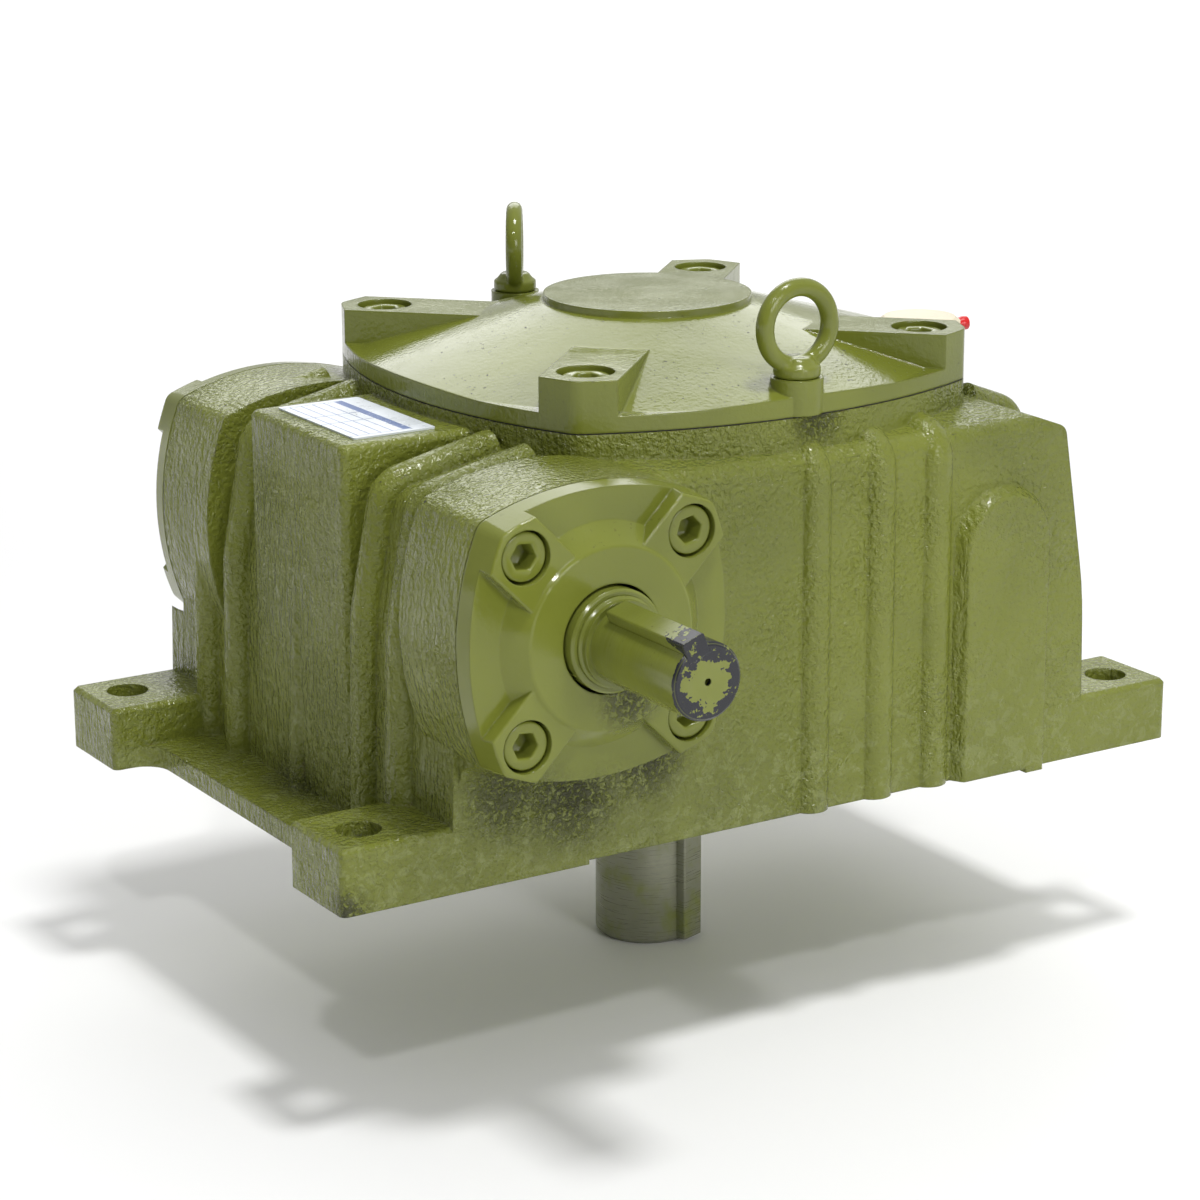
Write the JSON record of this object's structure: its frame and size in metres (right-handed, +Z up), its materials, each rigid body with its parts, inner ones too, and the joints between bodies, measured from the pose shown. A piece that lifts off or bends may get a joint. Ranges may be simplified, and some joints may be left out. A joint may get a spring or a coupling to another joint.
{
  "type": "worm gear reducer",
  "caption": "Worm gear reducer with a ribbed cast case, a horizontal input shaft and an output shaft that points down.",
  "frame": {"origin": "on the output shaft's axis, in the mounting plane under the feet", "axes": "+Z up along the output shaft's axis, +X away from the worm along the case's long side, +Y to the back, so that the input shaft points to -Y"},
  "size_m": [0.3406, 0.2965, 0.2598],
  "materials": {
    "painted_case": "gloss paint over cast iron",
    "painted_cover": "gloss paint over smoother cast iron",
    "gasket_paper": "compressed fibre sheet",
    "painted_screw": "gloss paint over steel",
    "painted_steel": "gloss paint over forged steel",
    "shaft_steel": "turned and ground",
    "bronze": "machined",
    "dark_steel": "blackened",
    "cast_iron": "as cast",
    "seal_rubber": "moulded",
    "plate_aluminium": "satin",
    "brass_fitting": "turned",
    "cap_plastic": "moulded",
    "pin_plastic": "moulded",
    "zinc_fitting": "zinc plated",
    "copper_washer": "soft",
    "clear_glass": "polished",
    "bearing_steel": "ground",
    "cage_steel": "pressed"
  },
  "bodies": {
    "case": {"housing": "painted_case", "top_cover": "painted_cover", "input_bearing_cover": "painted_cover", "rear_bearing_cover": "painted_cover", "top_cover_gasket": "gasket_paper", "input_cover_gasket": "gasket_paper", "rear_cover_gasket": "gasket_paper", "top_cover_screws": "painted_screw", "input_cover_screws": "painted_screw", "rear_cover_screws": "painted_screw", "front_eye_bolt": "painted_steel", "rear_eye_bolt": "painted_steel", "input_oil_seal": "seal_rubber", "output_oil_seal": "seal_rubber", "rating_plate": "plate_aluminium", "breather_body": "brass_fitting", "breather_cap": "cap_plastic", "drain_plug": "zinc_fitting", "drain_washer": "copper_washer", "oil_glass_ring": "brass_fitting", "oil_glass": "clear_glass", "worm_front_bearing_cup": "bearing_steel", "worm_rear_bearing_cup": "bearing_steel", "output_lower_bearing_cup": "bearing_steel", "output_upper_bearing_cup": "bearing_steel"},
    "worm": {"worm_shaft": "shaft_steel", "input_key": "shaft_steel", "input_sleeve": "shaft_steel", "worm_front_bearing_cone": "bearing_steel", "worm_rear_bearing_cone": "bearing_steel"},
    "output": {"output_shaft": "shaft_steel", "output_key": "shaft_steel", "wheel_hub": "cast_iron", "wheel_rim": "bronze", "wheel_rim_screws": "dark_steel", "wheel_key": "shaft_steel", "output_spacer": "shaft_steel", "output_lower_bearing_cone": "bearing_steel", "output_upper_bearing_cone": "bearing_steel"},
    "worm_front_rollers": {"worm_front_bearing_rollers": "bearing_steel", "worm_front_bearing_cage": "cage_steel"},
    "worm_rear_rollers": {"worm_rear_bearing_rollers": "bearing_steel", "worm_rear_bearing_cage": "cage_steel"},
    "output_lower_rollers": {"output_lower_bearing_rollers": "bearing_steel", "output_lower_bearing_cage": "cage_steel"},
    "output_upper_rollers": {"output_upper_bearing_rollers": "bearing_steel", "output_upper_bearing_cage": "cage_steel"},
    "transit_pin": {"breather_pin": "pin_plastic"}
  },
  "joints": [
    {"name": "output_spin", "type": "hinge", "parent": "case", "child": "output", "pos_m": [0, 0, 0.0866], "axis": [0, 0, 1], "continuous": true},
    {"name": "worm_spin", "type": "hinge", "parent": "case", "child": "worm", "pos_m": [-0.1, 0, 0.0866], "axis": [0, 1, 0], "continuous": true},
    {"name": "worm_front_roll", "type": "hinge", "parent": "case", "child": "worm_front_rollers", "pos_m": [-0.1, -0.10512, 0.0866], "axis": [0, 1, 0], "continuous": true},
    {"name": "worm_rear_roll", "type": "hinge", "parent": "case", "child": "worm_rear_rollers", "pos_m": [-0.1, 0.07963, 0.0866], "axis": [0, 1, 0], "continuous": true},
    {"name": "output_lower_roll", "type": "hinge", "parent": "case", "child": "output_lower_rollers", "pos_m": [0, 0, 0.02587], "axis": [0, 0, 1], "continuous": true},
    {"name": "output_upper_roll", "type": "hinge", "parent": "case", "child": "output_upper_rollers", "pos_m": [0, 0, 0.14713], "axis": [0, 0, 1], "continuous": true},
    {"name": "transit_pin_pull", "type": "slide", "parent": "case", "child": "transit_pin", "axis": [1, 0, 0], "range_m": [0, 0.03]}
  ],
  "couplings": [
    {"joint": "worm_spin", "follows": "output_spin", "ratio": 20},
    {"joint": "worm_front_roll", "follows": "output_spin", "ratio": 8.4},
    {"joint": "worm_rear_roll", "follows": "output_spin", "ratio": 8.4},
    {"joint": "output_lower_roll", "follows": "output_spin", "ratio": 0.42},
    {"joint": "output_upper_roll", "follows": "output_spin", "ratio": 0.42}
  ]
}
